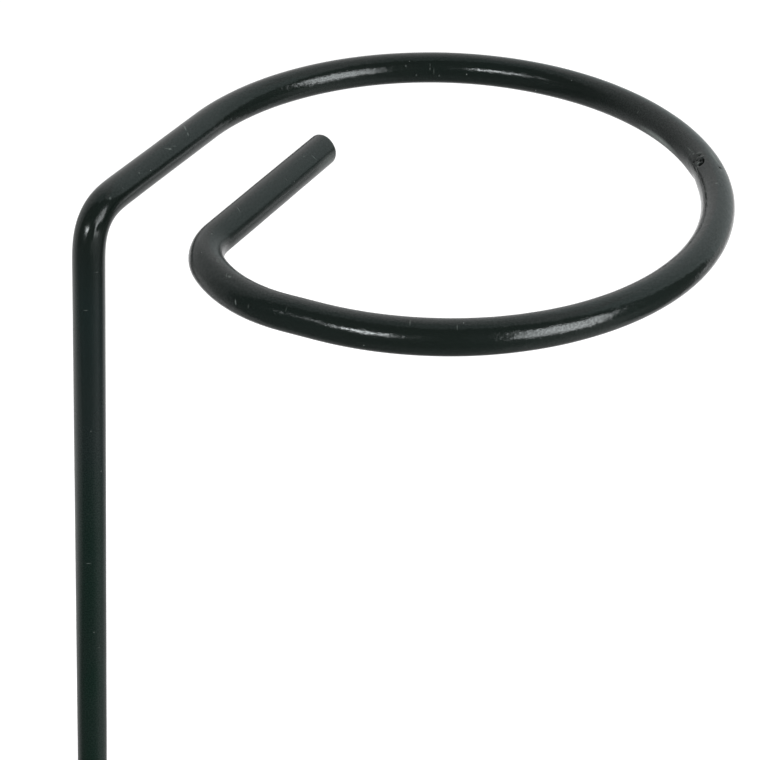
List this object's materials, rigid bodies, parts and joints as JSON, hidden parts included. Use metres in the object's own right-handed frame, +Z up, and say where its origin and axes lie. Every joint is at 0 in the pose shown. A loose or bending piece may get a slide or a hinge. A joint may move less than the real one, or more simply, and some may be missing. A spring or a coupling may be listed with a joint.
{
  "type": "plant support",
  "caption": "Single-stem plant support: a plastic-coated steel wire stake bent into an open ring with a hook end for slipping a stem in sideways.",
  "frame": {"origin": "centre of the stake's cut foot", "axes": "+Z up the stake, +X along the arm as seen from above, the ring lies on the -Y side of the arm"},
  "size_m": [0.0901, 0.0905, 0.4057],
  "materials": {
    "steel_wire": "drawn galvanised wire",
    "green_coating": "semi-gloss, very dark green"
  },
  "bodies": {
    "root": {"steel_core": "steel_wire", "plastic_coating": "green_coating"}
  },
  "joints": []
}
